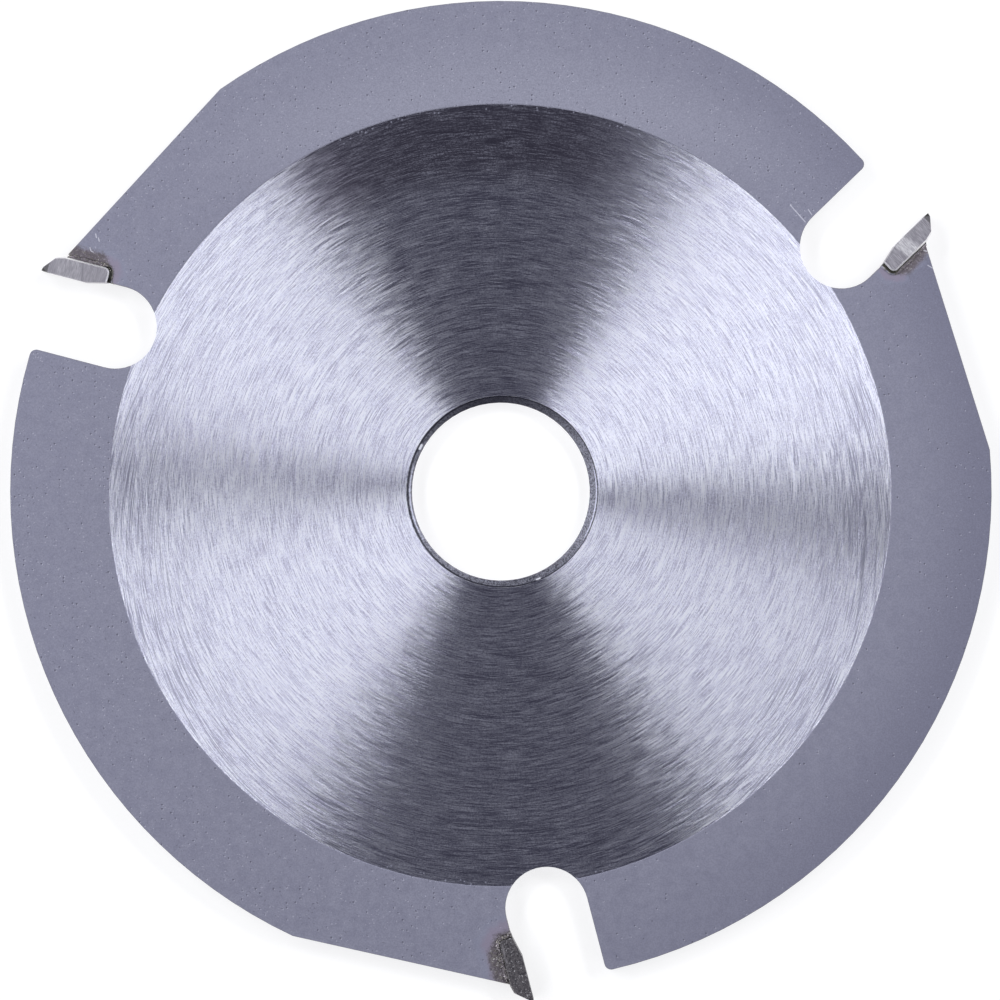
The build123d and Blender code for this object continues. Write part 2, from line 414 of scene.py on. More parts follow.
# Heat round the tips has left blue and purple tints, and flux is burnt on nearest to them: brown,
# olive where there is braze in it, and with painted glints. Each tip's stain has its own reach and
# colours.
TEMPER_BLUE = (0.305, 0.325, 0.415, 1)
TEMPER_PURPLE = (0.315, 0.28, 0.355, 1)
TEMPER_REACH_MM = (2.2, 2.6, 3.6)
TEMPER_SWAY_MM = 2.0
TEMPER_FADE = (0.35, 1.0)
TEMPER_TURN = (0.45, 0.8)
TEMPER_SHARE = 0.8
SCORCH_BROWN = (0.165, 0.145, 0.16, 1)
SCORCH_OLIVE = (0.19, 0.18, 0.145, 1)
SCORCH_DARK = (0.055, 0.05, 0.055, 1)
SCORCH_SPARK = (0.72, 0.70, 0.70, 1)
SCRATCH_LIGHT = (0.80, 0.80, 0.86, 1)
SCORCH_REACH_MM = ((0.5, 1.6), (0.7, 1.9), (1.1, 2.0))
SCORCH_BEHIND_MM = (-8.5, -6.7)
SCORCH_FADE_MM = (-0.75, 0.25, 0.95, 0.0)
SCORCH_END_MM = (-0.6, 0.4, 1.0, 0.0)
SPECKLE_GRAIN = (4.5, 3.0, 0.7)
SPECKLE_SWAY_MM = 1.1
SPECKLE_DARK = (0.28, 0.25, 0.55)
SPECKLE_DARK_FROM = (0.38, 0.58)
SPECKLE_LIGHT = (0.55, 0.72, 0.0, 0.25)
BLOTCH_GRAIN = (1.3, 2.0)
BLOTCH_SWAY_MM = 0.9
OLIVE_GRAIN = (2.6, 3.0, 0.6)
OLIVE_FROM = ((0.52, 0.74), (0.50, 0.72), (0.46, 0.70))
SPARK_GRAIN = (6.0, 2.0, 0.6)
SPARK_FROM = (0.60, 0.63, 0.58)
SPARK_RISE = 0.12
SPARK_SHARE = 0.8
SPARK_BLOTCHES = (0.40, 0.62, 0.35, 1.0)


def scorched(tree, place, local, tooth, under):
    """Burnt flux and braze round a tip over the colour under it: brown, olive and painted glints.
    """
    along = apart(tree, local)[0]
    reach = rise(tree, along, *SCORCH_BEHIND_MM, *SCORCH_REACH_MM[tooth])
    speckle = grain(tree, place, *SPECKLE_GRAIN)
    blotch = grain(tree, place, *BLOTCH_GRAIN)
    away = swayed(tree, from_tip(tree, local), speckle, SPECKLE_SWAY_MM)
    away = swayed(tree, away, blotch, BLOTCH_SWAY_MM)
    amount = times(
        tree,
        rise(tree, sums(tree, "SUBTRACT", away, reach), *SCORCH_FADE_MM),
        rise(tree, along, *SCORCH_END_MM),
    )
    olive = rise(tree, grain(tree, place, *OLIVE_GRAIN), *OLIVE_FROM[tooth])
    burnt = mixed(tree, olive, SCORCH_BROWN, SCORCH_OLIVE)
    dark = rise(tree, speckle, *SPECKLE_DARK_FROM, SPECKLE_DARK[tooth], 0.0)
    burnt = mixed(tree, dark, burnt, SCORCH_DARK)
    burnt = mixed(tree, rise(tree, speckle, *SPECKLE_LIGHT), burnt, SCRATCH_LIGHT)
    # Painted glints: bright specks painted into the burnt flux.
    spark_from = SPARK_FROM[tooth]
    sparkle = grain(tree, place, *SPARK_GRAIN)
    spark = times(
        tree,
        rise(tree, sparkle, spark_from, spark_from + SPARK_RISE, 0.0, SPARK_SHARE),
        rise(tree, blotch, *SPARK_BLOTCHES),
    )
    burnt = mixed(tree, spark, burnt, SCORCH_SPARK)
    return mixed(tree, amount, under, burnt)


for tooth, angle in enumerate(TOOTH_ANGLES):
    local = at_tooth(steel, place, angle)
    away = swayed(steel, from_tip(steel, local), mottle, TEMPER_SWAY_MM)
    fade = [share * TEMPER_REACH_MM[tooth] for share in TEMPER_FADE]
    blue = rise(steel, away, *[share * TEMPER_REACH_MM[tooth] for share in TEMPER_TURN])
    temper_colour = mixed(steel, blue, TEMPER_PURPLE, TEMPER_BLUE)
    temper = rise(steel, away, *fade, TEMPER_SHARE, 0.0)
    matt_colour = mixed(steel, temper, matt_colour, temper_colour)
    matt_colour = scorched(steel, place, local, tooth, matt_colour)

# Light scratches: three at the inner corner of the first gullet, the others beside two tips. All
# edges are a little rolled over, and painted darker there as painted shade.
SCRATCHES_MM = (
    ((36.10, 35.70), (36.12, 35.68), 0.14),
    ((36.20, 35.55), (37.92, 33.60), 0.08),
    ((38.30, 35.15), (38.75, 34.50), 0.07),
    ((53.20, 28.20), (53.95, 27.75), 0.08),
    ((52.20, 30.20), (53.05, 29.95), 0.12),
    ((-50.50, 32.10), (-50.40, 31.65), 0.10),
    ((-50.15, 31.60), (-50.05, 31.20), 0.09),
    ((-51.20, 30.40), (-51.10, 30.05), 0.09),
    ((-51.05, 29.95), (-50.80, 29.85), 0.08),
)
SCRATCH_SHARE = 0.55
EDGE_RADIUS = 0.00011
EDGE_TURN = (0.90, 0.995, 1.0, 0.0)
EDGE_SHARE = 0.8
MATT_ROUGHNESS = (0.60, 0.66)
MATT_RELIEF = (0.5, 0.00003)
MOTTLE_HEIGHT = 0.5
PIT_DEPTH = 1.2
for start, end, width in SCRATCHES_MM:
    scratch = times(steel, near(steel, place, start, end, width), SCRATCH_SHARE)
    matt_colour = mixed(steel, scratch, matt_colour, SCRATCH_LIGHT)
# Painted shade: the rolled-over edges are painted dark olive.
rolled = put(steel, "ShaderNodeBevel", {"Radius": EDGE_RADIUS}, samples=4).outputs[0]
true_normal = put(steel, "ShaderNodeNewGeometry").outputs["Normal"]
painted_edge_shade = rise(steel, measured(steel, "DOT_PRODUCT", rolled, true_normal), *EDGE_TURN)
matt_colour = mixed(steel, times(steel, painted_edge_shade, EDGE_SHARE), matt_colour, SCORCH_OLIVE)
pit_bowl = times(steel, pit_here, rise(steel, pit_distance, *PIT_BOWL))
matt_height = sums(
    steel, "SUBTRACT", times(steel, fine_mottle, MOTTLE_HEIGHT), times(steel, pit_bowl, PIT_DEPTH)
)
matt_steel = surface(
    steel,
    matt_colour,
    rise(steel, mottle, *MOTTLE, *MATT_ROUGHNESS),
    Normal=bumped(steel, matt_height, *MATT_RELIEF),
)

# Laser-cut faces: upright ribs, darker and browner than the rest
CUT_FACE_LIGHT = (0.37, 0.36, 0.375, 1)
CUT_FACE_DARK = (0.19, 0.182, 0.19, 1)
CUT_ROUGHNESS = 0.52
RIBS_PER_MM = (8.0, 8.0, 0.35)
RIB_GRAIN = (1.0, 3.0, 0.6)
RIB_TONES = (0.35, 0.65)
RIB_RELIEF = (0.6, 0.00008)
ribs = grain(steel, vectors(steel, "MULTIPLY", place, RIBS_PER_MM), *RIB_GRAIN)
cut_colour = mixed(steel, rise(steel, ribs, *RIB_TONES), CUT_FACE_DARK, CUT_FACE_LIGHT)
rib_bump = bumped(steel, ribs, *RIB_RELIEF)
cut_steel = surface(steel, cut_colour, CUT_ROUGHNESS, Normal=rib_bump)

# Bevel in the bore: turned roughly, with painted light making it lighter to both sides and toward
# the bottom, painted shade for a dark groove where it starts, a painted highlight for a bright
# ridge further in at the sides, and two shiny nicks
BEVEL_CENTRE_MM = (0.17, 0.0, 0.0)
BEVEL_RADIUS_MM = 12.0
BEVEL_EDGE_MM = 0.05
BEVEL_BOTTOM_MM = 0.1
BEVEL_LIGHT = (0.83, 0.84, 1.0, 1)
BEVEL_DARK = (0.02, 0.02, 0.035, 1)
BEVEL_ROUGHNESS = 0.45
BEVEL_SIDES = 0.19
BEVEL_DIAGONAL = 0.07
BEVEL_UPWARD = (-0.085, 0.12)
TORN_GRAIN = (4.0, 4.0, 0.85)
TORN_TONES = (0.34, 0.66, 0.05, 2.0)
TORN_RELIEF = (0.7, 0.0001)
GROOVE_MM = (0.09, -0.12)
GROOVE_LINE_MM = (0.05, 0.14, 0.12, 1.0)
RIDGE_MM = (0.11, -0.37)
RIDGE_LINE_MM = (0.03, 0.11, 0.65, 0.0)
RIDGE_LEAN = -0.12
RIDGE_AT_SIDES = (0.88, 0.99)
NICKS_MM = (((-10.12, 5.34), (-9.88, 5.80), 0.20), ((4.45, -10.95), (4.85, -10.80), 0.14))
NICK_ROUGHNESS = 0.5
bevel_radius, bevel_outward = flat_radius(steel, place, BEVEL_CENTRE_MM)
in_bevel = times(
    steel,
    sums(steel, "LESS_THAN", bevel_radius, BEVEL_RADIUS_MM + BEVEL_EDGE_MM),
    sums(steel, "GREATER_THAN", z_mm, BEVEL_BOTTOM_MM),
)
torn = grain(steel, place, *TORN_GRAIN)
# Painted light and shade: the bevel's tone follows the way it faces, lighter to the left and right
# and toward the bottom.
toward_x, toward_y, _ = apart(steel, bevel_outward)
sideways = sums(steel, "ABSOLUTE", toward_x)
diagonal = times(steel, toward_x, toward_y)
upward_tone = sums(steel, "MULTIPLY_ADD", toward_y, *BEVEL_UPWARD)
bevel_tone = times(steel, sideways, sideways)
bevel_tone = sums(steel, "MULTIPLY_ADD", bevel_tone, BEVEL_SIDES, upward_tone)
bevel_tone = sums(steel, "MULTIPLY_ADD", diagonal, BEVEL_DIAGONAL, bevel_tone, clamp=True)
bevel_tone = times(steel, bevel_tone, rise(steel, torn, *TORN_TONES))
# Painted highlight along a ridge at the sides, and painted shade along a groove at the lip.
from_lip = sums(steel, "SUBTRACT", BEVEL_RADIUS_MM, bevel_radius)
from_ridge = sums(steel, "ADD", from_lip, sums(steel, "MULTIPLY_ADD", toward_x, *RIDGE_MM))
ridge_light = rise(steel, sums(steel, "ABSOLUTE", from_ridge), *RIDGE_LINE_MM)
at_sides = sums(steel, "MULTIPLY_ADD", toward_y, RIDGE_LEAN, sideways)
at_sides = rise(steel, at_sides, *RIDGE_AT_SIDES)
bevel_tone = sums(steel, "MULTIPLY_ADD", at_sides, ridge_light, bevel_tone)
from_groove = sums(steel, "ADD", from_lip, sums(steel, "MULTIPLY_ADD", toward_x, *GROOVE_MM))
groove_dark = rise(steel, sums(steel, "ABSOLUTE", from_groove), *GROOVE_LINE_MM)
bevel_tone = sums(steel, "MULTIPLY", bevel_tone, groove_dark, clamp=True)
bevel_colour = mixed(steel, bevel_tone, BEVEL_DARK, BEVEL_LIGHT)
torn_bump = bumped(steel, torn, *TORN_RELIEF)
bevel_steel = surface(steel, bevel_colour, BEVEL_ROUGHNESS, Normal=torn_bump)
flat_nick = surface(steel, GROUND_WHITE, NICK_ROUGHNESS, Normal=joined(steel, z=1.0))

# The finishes together: two on each face, with a ragged line between them, and those of the walls
FACE_EDGE_MM = (1.165, 1.19)
GROUND_EDGE_MM = (GROUND_RADIUS_MM - 0.04, GROUND_RADIUS_MM + 0.02, 1.0, 0.0)
RAGGED_GRAIN = (2.5, 3.0)
RAGGED_MM = 0.10
ragged = sums(
    steel, "MULTIPLY_ADD", grain(steel, place, *RAGGED_GRAIN), RAGGED_MM, ground_radius
)
in_ground = rise(steel, ragged, *GROUND_EDGE_MM)
faces = over(steel, in_ground, matt_steel, ground_steel)
walls = over(steel, in_bevel, cut_steel, bevel_steel)
for start, end, width in NICKS_MM:
    on_nick = times(steel, near(steel, place, start, end, width), in_bevel)
    walls = over(steel, on_nick, walls, flat_nick)
on_face = rise(steel, sums(steel, "ABSOLUTE", z_mm), *FACE_EDGE_MM)
put(steel, "ShaderNodeOutputMaterial", {"Surface": over(steel, on_face, walls, faces)})
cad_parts["disc_body"].material_slots[0].material = plate_steel

# Carbide tips. Sintered tungsten carbide, ground on both sides across its length, with a light
# bevel at the back and the inner end and a nick at the cutting corner. Each is ground a little
# differently, and the third one still has flux burnt on to it.
CARBIDE_LIGHT = (0.60, 0.58, 0.625, 1)
CARBIDE_DARK = (0.29, 0.28, 0.315, 1)
CARBIDE_BRIGHT = (0.93, 0.92, 0.94, 1)
CARBIDE_BEVEL = (1.0, 0.99, 1.0, 1)
CARBIDE_BROKEN = (0.10, 0.10, 0.095, 1)
CARBIDE_ROUGHNESS = (0.3, 0.7, 0.48, 0.40)
CARBIDE_RELIEF = (0.4, 0.00004)
LINES_PER_MM = (7.0, 0.8, 1.0)
LINE_GRAIN = (1.0, 3.0, 0.65)
LINE_SPREAD = (0.20, 0.34, 0.20)
CLOUD_GRAIN = (1.3, 3.0, 0.6)
CLOUDS = (0.4, 0.7, 0.0, 0.25)
BRIGHT_BAND_MM = ((-5.9, -4.1), (-5.0, -1.9), (-6.6, -5.9))
BAND_LEAN = 0.18
BAND_FADE_MM = (0.15, 0.35)
BAND_LINES = (0.35, 0.65)
BAND_SHINE = ((0.25, 1.0), (0.0, 0.25), (0.0, 0.2))
STEP_DARK = (0.0, 0.8, 0.0)
STEP_ASIDE_MM = 0.2
STEP_LINE_MM = (0.03, 0.12)
BEVEL_STEEP = (0.4, 0.6)
BEVEL_FLAT = (0.93, 0.98, 1.0, 0.0)
NICK_FROM_MM = (-1.3, -1.1)
WORN_CORNER_MM = (-0.65, -0.4, 0.0, 0.7)
WORN_SWAY_MM = 0.5
BURNT_FLUX = (0.105, 0.098, 0.108, 1)
FLUX_GREY = (0.19, 0.178, 0.185, 1)
CRUST_DARK = (0.03, 0.03, 0.035, 1)
PAINTED_RIDGE_HIGHLIGHT = (0.40, 0.38, 0.40, 1)
FLUX_AMOUNT = (0.0, 0.0, 0.97)
FLUX_CLOUDS = (0.22, 0.34)
FLUX_HEIGHT = 0.8
CRUST_GRAIN = (4.0, 4.0, 0.7)
CRUST_TONES = (0.42, 0.60)
CRUST_HOLES = (0.30, 0.45, 1.0, 0.0)
GLINT_GRAIN = (5.0, 2.0, 0.6)
GLINTS = (0.58, 0.72, 0.0, 0.8)
FLUX_RIDGE_AT_MM = -2.05
FLUX_RIDGE_SWAY_MM = 0.5
FLUX_RIDGE_LINE_MM = (0.02, 0.16, 0.75, 0.0)
FLUX_RIDGE_FROM_MM = (-7.9, -7.5)
FLUX_RIDGE_TO_MM = (-5.8, -5.0, 1.0, 0.0)
for number, angle in enumerate(TOOTH_ANGLES):
    carbide, hard = new_finish(f"ground_carbide_{number + 1}")
    place = place_in_mm(hard)[0]
    local = at_tooth(hard, place, angle)
    along, across, _ = apart(hard, local)
    lines = grain(hard, vectors(hard, "MULTIPLY", local, LINES_PER_MM), *LINE_GRAIN)
    cloud = grain(hard, local, *CLOUD_GRAIN)

    # Ground sides, with a painted highlight for a bright band where a facet catches the light, on
    # one tip painted shade for a dark step beside it, and clouds
    spread = LINE_SPREAD[number]
    colour = mixed(hard, rise(hard, lines, 0.5 - spread, 0.5 + spread), CARBIDE_DARK, CARBIDE_LIGHT)
    band_low, band_high = BRIGHT_BAND_MM[number]
    low_fade, high_fade = BAND_FADE_MM
    slanted = sums(hard, "MULTIPLY_ADD", across, BAND_LEAN, along)
    band = times(
        hard,
        rise(hard, slanted, band_low - low_fade, band_low + low_fade),
        rise(hard, slanted, band_high - high_fade, band_high + high_fade, 1.0, 0.0),
    )
    shine = times(hard, band, rise(hard, lines, *BAND_LINES, *BAND_SHINE[number]))
    colour = mixed(hard, shine, colour, CARBIDE_BRIGHT)
    from_step = sums(hard, "ABSOLUTE", sums(hard, "SUBTRACT", slanted, band_low - STEP_ASIDE_MM))
    dark_step = rise(hard, from_step, *STEP_LINE_MM, STEP_DARK[number], 0.0)
    colour = mixed(hard, dark_step, colour, CARBIDE_DARK)
    colour = mixed(hard, rise(hard, cloud, *CLOUDS), colour, CARBIDE_DARK)

    # Bevels are painted bright as a painted highlight; the nick and the worn corner are broken and
    # dark
    upright = apart(hard, put(hard, "ShaderNodeNewGeometry").outputs["Normal"])[2]
    upright = sums(hard, "ABSOLUTE", upright)
    leaning = times(hard, rise(hard, upright, *BEVEL_STEEP), rise(hard, upright, *BEVEL_FLAT))
    nicked = times(hard, leaning, rise(hard, along, *NICK_FROM_MM))
    painted_shade_and_wear = sums(hard, "MULTIPLY_ADD", cloud, WORN_SWAY_MM, along)
    broken = sums(hard, "MAXIMUM", nicked, rise(hard, painted_shade_and_wear, *WORN_CORNER_MM))
    bevel = sums(hard, "SUBTRACT", leaning, broken, clamp=True)
    colour = mixed(hard, bevel, colour, CARBIDE_BEVEL)
    colour = mixed(hard, broken, colour, CARBIDE_BROKEN)

    # Burnt flux: a dark crust with holes, painted glints and a painted highlight along a ridge at
    # its back
    crust = grain(hard, place, *CRUST_GRAIN)
    burnt = mixed(hard, rise(hard, crust, *CRUST_TONES), BURNT_FLUX, FLUX_GREY)
    burnt = mixed(hard, rise(hard, crust, *CRUST_HOLES), burnt, CRUST_DARK)
    glint = rise(hard, grain(hard, place, *GLINT_GRAIN), *GLINTS)
    burnt = mixed(hard, glint, burnt, CARBIDE_BRIGHT)
    off_ridge = sums(hard, "ABSOLUTE", sums(hard, "SUBTRACT", across, FLUX_RIDGE_AT_MM))
    off_ridge = swayed(hard, off_ridge, cloud, FLUX_RIDGE_SWAY_MM)
    ridge_run = times(
        hard, rise(hard, along, *FLUX_RIDGE_FROM_MM), rise(hard, along, *FLUX_RIDGE_TO_MM)
    )
    painted_ridge_highlight = times(hard, rise(hard, off_ridge, *FLUX_RIDGE_LINE_MM), ridge_run)
    burnt = mixed(hard, painted_ridge_highlight, burnt, PAINTED_RIDGE_HIGHLIGHT)
    flux = times(hard, rise(hard, cloud, *FLUX_CLOUDS), FLUX_AMOUNT[number])
    colour = mixed(hard, flux, colour, burnt)

    height = sums(hard, "MULTIPLY_ADD", flux, FLUX_HEIGHT, lines)
    ground_carbide = surface(
        hard,
        colour,
        rise(hard, lines, *CARBIDE_ROUGHNESS),
        Normal=bumped(hard, height, *CARBIDE_RELIEF),
    )
    put(hard, "ShaderNodeOutputMaterial", {"Surface": ground_carbide})
    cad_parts[f"carbide_tip_{number + 1}"].material_slots[0].material = carbide

# Braze. Silver braze that has run round each tip, filled its seat and set as a rough bead on both
# faces of the plate, with flakes of burnt flux stuck in it. The third joint was never cleaned.
BRAZE_SIZES = (
    ("Lump height", 0.00003, 0.00005, 0.00010),
    ("Lump size", 0.0005, 0.0006, 0.0007),
    ("Ridge height", 0.0, 0.00002, 0.00012),
    ("Flakes", 2.2, 3.5, 6.0),
    ("Seed", 3, 8, 14),
)
BRAZE_CELL = 0.00005
BRAZE_BAND = 0.0004
BRAZE_SKIN = 0.1
MOST_HEIGHT = 0.00176
LUMP_DETAIL = 3.0
LUMP_ROUGHNESS = 0.6
LUMP_MIDDLE = 0.45
LUMP_GAIN = 4.0
CREST_LUMPS = (0.48, 0.60)
CREST_FACING = (0.3, 0.9)
FLAKE_FACING = 0.75
FLAKE_SMALL, FLAKE_LARGE = 0.00003, 0.00009
FLAKES_TO_SQUARE_METRE = 1e6

braze_tree = bpy.data.node_groups.new("braze_run", "GeometryNodeTree")
sockets = braze_tree.interface
sockets.new_socket("Geometry", in_out="INPUT", socket_type="NodeSocketGeometry")
socket_of = {}
for label, kind in (
    ("Lump height", "NodeSocketFloat"),
    ("Lump size", "NodeSocketFloat"),
    ("Ridge height", "NodeSocketFloat"),
    ("Flakes", "NodeSocketFloat"),
    ("Seed", "NodeSocketInt"),
    ("Braze", "NodeSocketMaterial"),
    ("Flux", "NodeSocketMaterial"),
):
    socket_of[label] = sockets.new_socket(label, in_out="INPUT", socket_type=kind).identifier
sockets.new_socket("Geometry", in_out="OUTPUT", socket_type="NodeSocketGeometry")
given = put(braze_tree, "NodeGroupInput").outputs


def shaped(kind, inputs, **settings):
    """One node of the braze's tree, and its first output."""
    return put(braze_tree, kind, inputs, **settings).outputs[0]


# The seat's filling is remeshed into fine cells, and its skin swells into lumps
filled = shaped(
    "GeometryNodeMeshToVolume",
    {"Mesh": given["Geometry"], "Voxel Size": BRAZE_CELL, "Interior Band Width": BRAZE_BAND},
    resolution_mode="VOXEL_SIZE",
)
skin = shaped(
    "GeometryNodeVolumeToMesh", {"Volume": filled, "Threshold": BRAZE_SKIN}, resolution_mode="GRID"
)
spot = shaped("GeometryNodeInputPosition", {})
facing = shaped("GeometryNodeInputNormal", {})
facing_up = sums(braze_tree, "ABSOLUTE", apart(braze_tree, facing)[2])
lumps = shaped(
    "ShaderNodeTexNoise",
    {
        "Vector": vectors(braze_tree, "ADD", spot, joined(braze_tree, given["Seed"])),
        "Scale": sums(braze_tree, "DIVIDE", 1.0, given["Lump size"]),
        "Detail": LUMP_DETAIL,
        "Roughness": LUMP_ROUGHNESS,
    },
)
swell = times(
    braze_tree,
    sums(braze_tree, "SUBTRACT", lumps, LUMP_MIDDLE),
    times(braze_tree, given["Lump height"], LUMP_GAIN),
)
crest = times(
    braze_tree,
    rise(braze_tree, lumps, *CREST_LUMPS),
    times(braze_tree, given["Ridge height"], rise(braze_tree, facing_up, *CREST_FACING)),
)
swollen = scaled(braze_tree, facing, sums(braze_tree, "ADD", swell, crest))
lumpy = shaped("GeometryNodeSetPosition", {"Geometry": skin, "Offset": swollen})
limited = vectors(braze_tree, "MAXIMUM", spot, (-1.0, -1.0, -MOST_HEIGHT))
limited = vectors(braze_tree, "MINIMUM", limited, (1.0, 1.0, MOST_HEIGHT))
lumpy = shaped("GeometryNodeSetPosition", {"Geometry": lumpy, "Position": limited})
lumpy = shaped("GeometryNodeSetMaterial", {"Geometry": lumpy, "Material": given["Braze"]})

# Flakes of flux stick in its upper and lower faces
faces_up = shaped(
    "FunctionNodeCompare",
    {"A": facing_up, "B": FLAKE_FACING},
    data_type="FLOAT",
    operation="GREATER_THAN",
)
spots = shaped(
    "GeometryNodeDistributePointsOnFaces",
    {
        "Mesh": lumpy,
        "Selection": faces_up,
        "Density": times(braze_tree, given["Flakes"], FLAKES_TO_SQUARE_METRE),
        "Seed": given["Seed"],
    },
)
flake_size = shaped(
    "FunctionNodeRandomValue",
    {0: (FLAKE_SMALL,) * 3, 1: (FLAKE_LARGE,) * 3, "Seed": given["Seed"]},
    data_type="FLOAT_VECTOR",
)
flake_turn = shaped(
    "FunctionNodeRandomValue",
    {0: (0, 0, 0), 1: (2 * pi, 2 * pi, 2 * pi), "Seed": given["Seed"]},
    data_type="FLOAT_VECTOR",
)
crumb = shaped("GeometryNodeMeshIcoSphere", {"Radius": 1.0, "Subdivisions": 1})
flakes = shaped(
    "GeometryNodeInstanceOnPoints",
    {"Points": spots, "Instance": crumb, "Rotation": flake_turn, "Scale": flake_size},
)
flakes = shaped("GeometryNodeRealizeInstances", {0: flakes})
flakes = shaped("GeometryNodeSetMaterial", {"Geometry": flakes, "Material": given["Flux"]})
lumpy = shaped("GeometryNodeSetShadeSmooth", {"Geometry": lumpy})
both = put(braze_tree, "GeometryNodeJoinGeometry")
braze_tree.links.new(flakes, both.inputs[0])
braze_tree.links.new(lumpy, both.inputs[0])
put(braze_tree, "NodeGroupOutput", {0: both.outputs[0]})

FLUX_PALE = (0.62, 0.60, 0.52, 1)
FLUX_DULL = (0.24, 0.22, 0.17, 1)
FLAKE_GRAIN = (9.0, 2.0)
FLAKE_TONES = (0.35, 0.65)
FLAKE_ROUGHNESS = (0.0, 1.0, 0.45, 0.2)
flux_flake, flake = new_finish("burnt_flux_flakes")
place = place_in_mm(flake)[0]
flake_tone = rise(flake, grain(flake, place, *FLAKE_GRAIN), *FLAKE_TONES)
flake_colour = mixed(flake, flake_tone, FLUX_DULL, FLUX_PALE)
burnt_flux = surface(
    flake, flake_colour, rise(flake, flake_tone, *FLAKE_ROUGHNESS), metallic=0.0
)
put(flake, "ShaderNodeOutputMaterial", {"Surface": burnt_flux})

BARE_STEEL = (0.30, 0.30, 0.37, 1)
BRAZE_OLIVE = (0.22, 0.21, 0.16, 1)
BRAZE_GLINT = (0.93, 0.95, 1.0, 1)
BRAZE_HOLLOW = ((0.05, 0.048, 0.038, 1), (0.022, 0.022, 0.02, 1), (0.06, 0.057, 0.05, 1))
BRAZE_METALLIC = 0.9
BRAZE_ROUGHNESS = (0.35, 0.65, 0.55, 0.35)
BRAZE_RELIEF = (0.6, 0.0001)
BRAZE_GRAIN = (2.2, 4.0, 0.65)
BRAZE_TONES = (0.42, 0.62)
GAP_DARK_MM = ((0.30, 0.12), (0.42, 0.0), (0.10, 0.04))
GAP_ALONG_MM = (-8.4, -7.2)
GAP_FADE_MM = (-0.03, 0.08, 1.0, 0.0)
GAP_SWAY_MM = 0.16
NEVER_CLEANED = 2
CRUST_RIM_MM = 0.70
CRUST_RIM_LINE_MM = (0.03, 0.12, 0.8, 0.0)
CRUST_RIM_ALONG_MM = (-7.6, -7.0, 1.0, 0.0)
BLOW_HOLE_MM = ((0.20, -55.12), (0.55, -55.05), 0.30)
BLOW_HOLE = (0.022, 0.022, 0.02, 1)
GLINT_MM = ((-0.22, -55.05), (-0.02, -54.90), 0.22)
MERGE_DISTANCE = 1e-7
for number, angle in enumerate(TOOTH_ANGLES):
    silver_braze, melt = new_finish(f"silver_braze_{number + 1}")
    place = place_in_mm(melt)[0]
    local = at_tooth(melt, place, angle)
    away = from_tip(melt, local)
    along = apart(melt, local)[0]
    cloud = grain(melt, place, *BRAZE_GRAIN)
    bare = mixed(melt, rise(melt, cloud, *BRAZE_TONES), BARE_STEEL, BRAZE_OLIVE)
    colour = scorched(melt, place, local, number, bare)
    # Painted shade: a dark line painted into the gap behind each tip's back and round its inner
    # end.
    gap = sums(
        melt,
        "SUBTRACT",
        swayed(melt, away, cloud, GAP_SWAY_MM),
        rise(melt, along, *GAP_ALONG_MM, *GAP_DARK_MM[number]),
    )
    colour = mixed(melt, rise(melt, gap, *GAP_FADE_MM), colour, BRAZE_HOLLOW[number])
    if number == NEVER_CLEANED:
        # Painted highlight along the bead's outer edge, and one painted glint beside the blow hole.
        painted_rim_highlight = sums(melt, "ABSOLUTE", sums(melt, "SUBTRACT", away, CRUST_RIM_MM))
        painted_rim_highlight = times(
            melt, rise(melt, painted_rim_highlight, *CRUST_RIM_LINE_MM), rise(melt, along, *CRUST_RIM_ALONG_MM)
        )
        colour = mixed(melt, painted_rim_highlight, colour, PAINTED_RIDGE_HIGHLIGHT)
        colour = mixed(melt, near(melt, place, *BLOW_HOLE_MM), colour, BLOW_HOLE)
        colour = mixed(melt, near(melt, place, *GLINT_MM), colour, BRAZE_GLINT)
    bead = surface(
        melt,
        colour,
        rise(melt, cloud, *BRAZE_ROUGHNESS),
        metallic=BRAZE_METALLIC,
        Normal=bumped(melt, cloud, *BRAZE_RELIEF),
    )
    put(melt, "ShaderNodeOutputMaterial", {"Surface": bead})

    node = f"braze_joint_{number + 1}"
    filling = bpy.data.meshes.new(f"{node}_whole")
    bm = bmesh.new()
    bm.from_mesh(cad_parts[node].data)
    bmesh.ops.remove_doubles(bm, verts=bm.verts, dist=MERGE_DISTANCE)
    bm.to_mesh(filling)
    bm.free()
    work = bpy.data.objects.new(f"{node}_work", filling)
    bpy.context.scene.collection.objects.link(work)
    modifier = work.modifiers.new("braze_run", "NODES")
    modifier.node_group = braze_tree
    for label, *sizes in BRAZE_SIZES:
        modifier[socket_of[label]] = sizes[number]
    modifier[socket_of["Braze"]] = silver_braze
    modifier[socket_of["Flux"]] = flux_flake
    shown = work.evaluated_get(bpy.context.evaluated_depsgraph_get())
    mesh = bpy.data.meshes.new_from_object(shown)
    bpy.data.objects.remove(work)
    piece = bpy.data.objects.new(f"braze_run_{number + 1}", mesh)
    bpy.context.scene.collection.objects.link(piece)
    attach(piece, "root")
    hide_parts(node)

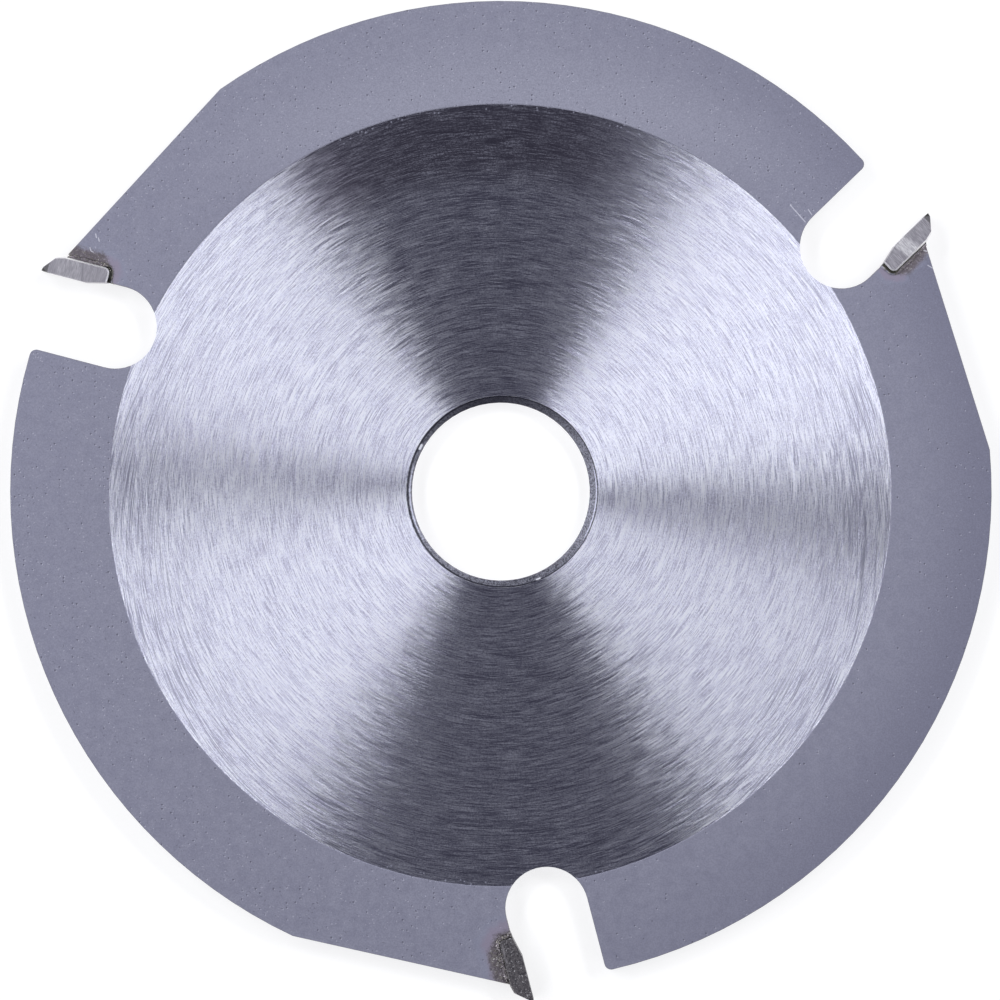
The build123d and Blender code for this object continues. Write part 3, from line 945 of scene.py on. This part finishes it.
# Studio. A plain white sweep under four soft lamps, two to the left and two to the right, with
# none in front or behind, so that the ground steel is dark along one line.
FLOOR_Z = -0.001892
SWEEP_FLAT = 2.4
SWEEP_RADIUS = 3.0
SWEEP_TOP = 0.45
SWEEP_SIDES = 96
SWEEP_STEPS = 8
FLOOR_PAINT = (0.36, 0.36, 0.36, 1)
FLOOR_GLOW = (150.0, 700.0, 0.70, 1.0)
sweep_mesh = bpy.data.meshes.new("sweep")
sweep_bm = bmesh.new()
middle = sweep_bm.verts.new((0, 0, FLOOR_Z))
previous = None
for step in range(SWEEP_STEPS + 1):
    climb = step / SWEEP_STEPS * pi / 2
    ring_radius = SWEEP_FLAT + (SWEEP_RADIUS - SWEEP_FLAT) * sin(climb)
    ring_z = FLOOR_Z + SWEEP_TOP * (1 - cos(climb))
    ring = []
    for side in range(SWEEP_SIDES):
        round_by = 2 * pi * side / SWEEP_SIDES
        rim_point = (ring_radius * cos(round_by), ring_radius * sin(round_by), ring_z)
        ring.append(sweep_bm.verts.new(rim_point))
    for side in range(SWEEP_SIDES):
        after = (side + 1) % SWEEP_SIDES
        if previous is None:
            sweep_bm.faces.new((middle, ring[side], ring[after]))
        else:
            sweep_bm.faces.new((previous[side], ring[side], ring[after], previous[after]))
    previous = ring
for face in sweep_bm.faces:
    face.smooth = True
sweep_bm.to_mesh(sweep_mesh)
sweep_bm.free()
sweep = bpy.data.objects.new("sweep", sweep_mesh)
bpy.context.scene.collection.objects.link(sweep)

paper, white = new_finish("white_sweep")
place = place_in_mm(white)[0]
from_middle, _ = flat_radius(white, place, (0, 0, 0))
path = put(white, "ShaderNodeLightPath").outputs
seen = sums(white, "MAXIMUM", path["Is Glossy Ray"], path["Is Transmission Ray"])
seen = sums(white, "MAXIMUM", path["Is Camera Ray"], seen)
glow = times(white, seen, rise(white, from_middle, *FLOOR_GLOW))
matt_paper = put(white, "ShaderNodeBsdfDiffuse", {"Color": FLOOR_PAINT}).outputs[0]
glowing = put(white, "ShaderNodeEmission", {"Color": (1, 1, 1, 1), "Strength": glow}).outputs[0]
lit_paper = put(white, "ShaderNodeAddShader", {0: matt_paper, 1: glowing}).outputs[0]
put(white, "ShaderNodeOutputMaterial", {"Surface": lit_paper})
sweep_mesh.materials.append(paper)

LAMP_DISTANCE = 0.62
LAMP_FROM_UPRIGHT = 42.0
LAMP_DEPTH = 0.13
LAMP_COLOUR = (0.95, 0.96, 1.0)
LAMPS = (
    ("upper_right", 32.0, 0.446, 2.12),
    ("upper_left", 149.0, 0.375, 1.70),
    ("lower_left", 209.3, 0.496, 1.23),
    ("lower_right", 325.3, 0.345, 0.56),
)
for name, azimuth, width, power in LAMPS:
    lamp = bpy.data.lights.new(f"soft_lamp_{name}", "AREA")
    lamp.shape = "RECTANGLE"
    lamp.size = width
    lamp.size_y = LAMP_DEPTH
    lamp.energy = power
    lamp.color = LAMP_COLOUR
    holder = bpy.data.objects.new(lamp.name, lamp)
    level = sin(radians(LAMP_FROM_UPRIGHT))
    toward = Vector(
        (
            level * cos(radians(azimuth)),
            level * sin(radians(azimuth)),
            cos(radians(LAMP_FROM_UPRIGHT)),
        )
    )
    holder.location = toward * LAMP_DISTANCE
    holder.rotation_euler = toward.to_track_quat("Z", "Y").to_euler()
    holder.visible_camera = False
    bpy.context.scene.collection.objects.link(holder)

WORLD_COLOUR = (0.80, 0.80, 1.0, 1)
WORLD_LEVEL = 0.102
world = bpy.data.worlds.new("dim_room")
world.use_nodes = True
world.node_tree.nodes["Background"].inputs["Color"].default_value = WORLD_COLOUR
world.node_tree.nodes["Background"].inputs["Strength"].default_value = WORLD_LEVEL
bpy.context.scene.world = world

# Camera, straight above the disc and far off. The picture is 124.6 mm wide at the plate's face.
PICTURE_WIDTH = 0.124608
PICTURE_MIDDLE = (-0.000112, -0.001047)
CAMERA_HEIGHT = 0.6
SENSOR_WIDTH = 36.0
CLIP_START, CLIP_END = 0.01, 20.0
camera = bpy.data.cameras.new("camera")
camera.sensor_width = SENSOR_WIDTH
camera.lens = SENSOR_WIDTH * CAMERA_HEIGHT / PICTURE_WIDTH
camera.clip_start = CLIP_START
camera.clip_end = CLIP_END
stand = bpy.data.objects.new("camera", camera)
stand.location = (*PICTURE_MIDDLE, CAMERA_HEIGHT + PLATE_HALF_MM / 1000)
bpy.context.scene.collection.objects.link(stand)
bpy.context.scene.camera = stand
bpy.context.scene.view_settings.view_transform = "Standard"
